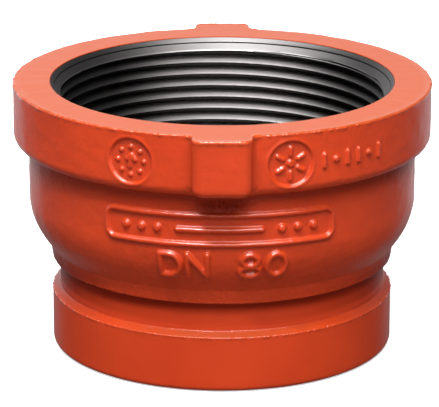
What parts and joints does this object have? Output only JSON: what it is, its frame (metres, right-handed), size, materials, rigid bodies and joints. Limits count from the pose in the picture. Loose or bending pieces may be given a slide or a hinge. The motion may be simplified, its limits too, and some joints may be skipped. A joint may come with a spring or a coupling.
{
  "type": "threaded to grooved pipe adapter",
  "caption": "Short ductile iron pipe adapter: heavy collar with an internal taper pipe thread and two wrench lugs, waisting down to a grooved pipe end, under orange enamel.",
  "frame": {"origin": "on the pipe axis, in the plane of the grooved end's rim", "axes": "+Z along the pipe axis from the grooved end to the threaded mouth; the front wrench lug and the casting marks face -Y; +X to the right seen from the front"},
  "size_m": [0.1082, 0.1186, 0.0698],
  "materials": {
    "bare_iron": "machined ductile iron, oiled, with fine turning marks",
    "orange_enamel": "orange gloss enamel over as-cast iron, thick at the edges"
  },
  "bodies": {
    "root": {"iron_casting": "bare_iron", "enamel_coat": "orange_enamel"}
  },
  "joints": []
}
